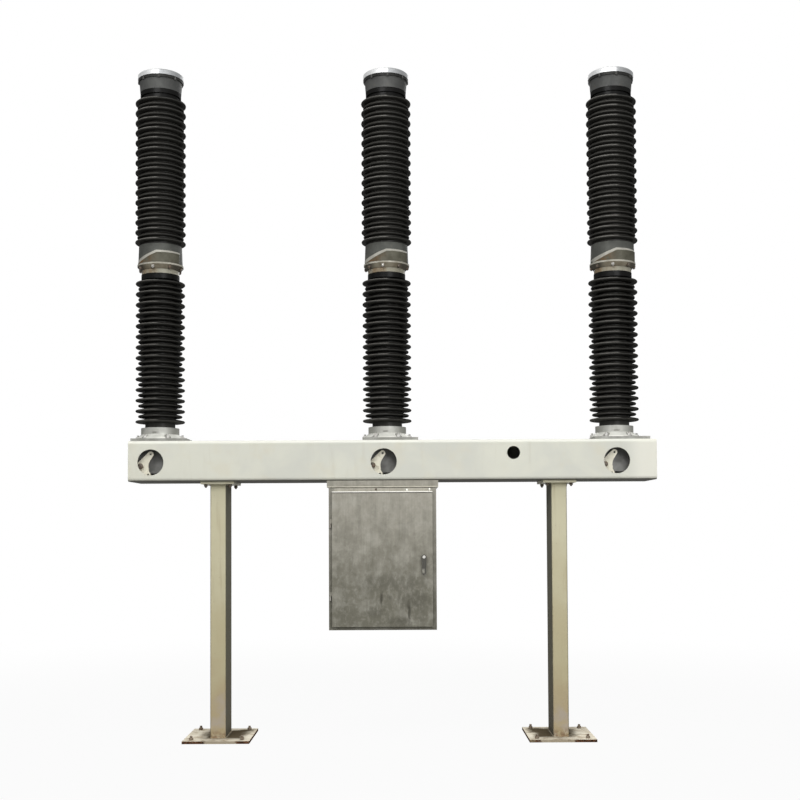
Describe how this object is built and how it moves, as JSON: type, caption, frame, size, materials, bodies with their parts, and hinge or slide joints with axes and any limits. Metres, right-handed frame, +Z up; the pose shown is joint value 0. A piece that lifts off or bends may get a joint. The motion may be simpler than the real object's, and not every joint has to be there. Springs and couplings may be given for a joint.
{
  "type": "gas insulated circuit breaker",
  "caption": "Outdoor gas insulated circuit breaker: porcelain poles on a box beam with crank levers behind round windows, rectangular legs and a hanging control cabinet with a hinged door.",
  "frame": {"origin": "the middle of the overall box, on the ground", "axes": "+Z up along the poles, +X along the beam to the right seen from the front, -Y to the front, where the cabinet's door is"},
  "size_m": [3.968, 0.656, 5.1136],
  "materials": {
    "rusty_steel": "rusted plate",
    "leg_paint": "beige paint, dusty towards the foot",
    "beam_paint": "pale warm grey paint",
    "hinge_steel": "dull steel",
    "cabinet_steel": "mottled stainless sheet",
    "handle_metal": "worn plating",
    "cast_aluminium": "cast, light grey",
    "porcelain": "glossy black-brown glaze",
    "collar_paint": "beige paint",
    "cast_grey": "cast, grey",
    "cover_metal": "bright silver",
    "lever_paint": "beige paint"
  },
  "bodies": {
    "frame": {"base_plate_left": "rusty_steel", "base_plate_right": "rusty_steel", "leg_left": "leg_paint", "leg_right": "leg_paint", "head_plate_left": "leg_paint", "head_plate_right": "leg_paint", "beam_end_left": "beam_paint", "beam_end_right": "beam_paint", "cabinet_side_left": "cabinet_steel", "cabinet_side_right": "cabinet_steel", "beam_front_channel": "beam_paint", "beam_rear_channel": "beam_paint", "cabinet_hanger": "cabinet_steel", "cabinet_back": "cabinet_steel", "cabinet_roof": "cabinet_steel", "cabinet_floor": "cabinet_steel", "cabinet_drip_strip": "cabinet_steel", "cabinet_hinges": "hinge_steel", "pole_base_left": "cast_aluminium", "pole_base_centre": "cast_aluminium", "pole_base_right": "cast_aluminium", "support_insulator_left": "porcelain", "support_insulator_centre": "porcelain", "support_insulator_right": "porcelain", "support_collar_left": "collar_paint", "support_collar_centre": "collar_paint", "support_collar_right": "collar_paint", "terminal_housing_left": "cast_grey", "terminal_housing_centre": "cast_grey", "terminal_housing_right": "cast_grey", "interrupter_insulator_left": "porcelain", "interrupter_insulator_centre": "porcelain", "interrupter_insulator_right": "porcelain", "top_flange_left": "cast_grey", "top_flange_centre": "cast_grey", "top_flange_right": "cast_grey", "top_cover_left": "cover_metal", "top_cover_centre": "cover_metal", "top_cover_right": "cover_metal"},
    "door": {"cabinet_door": "cabinet_steel"},
    "handle": {"door_handle": "handle_metal"},
    "crank_left": {"crank_lever_left": "lever_paint"},
    "crank_centre": {"crank_lever_centre": "lever_paint"},
    "crank_right": {"crank_lever_right": "lever_paint"}
  },
  "joints": [
    {"name": "door_hinge", "type": "hinge", "parent": "frame", "child": "door", "pos_m": [-0.464, -0.288, 1.3585], "axis": [0, 0, -1], "range_deg": [0, 110]},
    {"name": "handle_turn", "type": "hinge", "parent": "door", "child": "handle", "pos_m": [0.231, -0.299, 1.3785], "axis": [0, 1, 0], "range_deg": [0, 90]},
    {"name": "crank_turn_left", "type": "hinge", "parent": "frame", "child": "crank_left", "pos_m": [-1.898, -0.082, 2.06704], "axis": [0, -1, 0], "range_deg": [0, 60]},
    {"name": "crank_turn_centre", "type": "hinge", "parent": "frame", "child": "crank_centre", "pos_m": [-0.148, -0.082, 2.06704], "axis": [0, -1, 0], "range_deg": [0, 60]},
    {"name": "crank_turn_right", "type": "hinge", "parent": "frame", "child": "crank_right", "pos_m": [1.602, -0.082, 2.06704], "axis": [0, -1, 0], "range_deg": [0, 60]}
  ],
  "couplings": [
    {"joint": "crank_turn_centre", "follows": "crank_turn_left", "ratio": 1},
    {"joint": "crank_turn_right", "follows": "crank_turn_left", "ratio": 1}
  ]
}
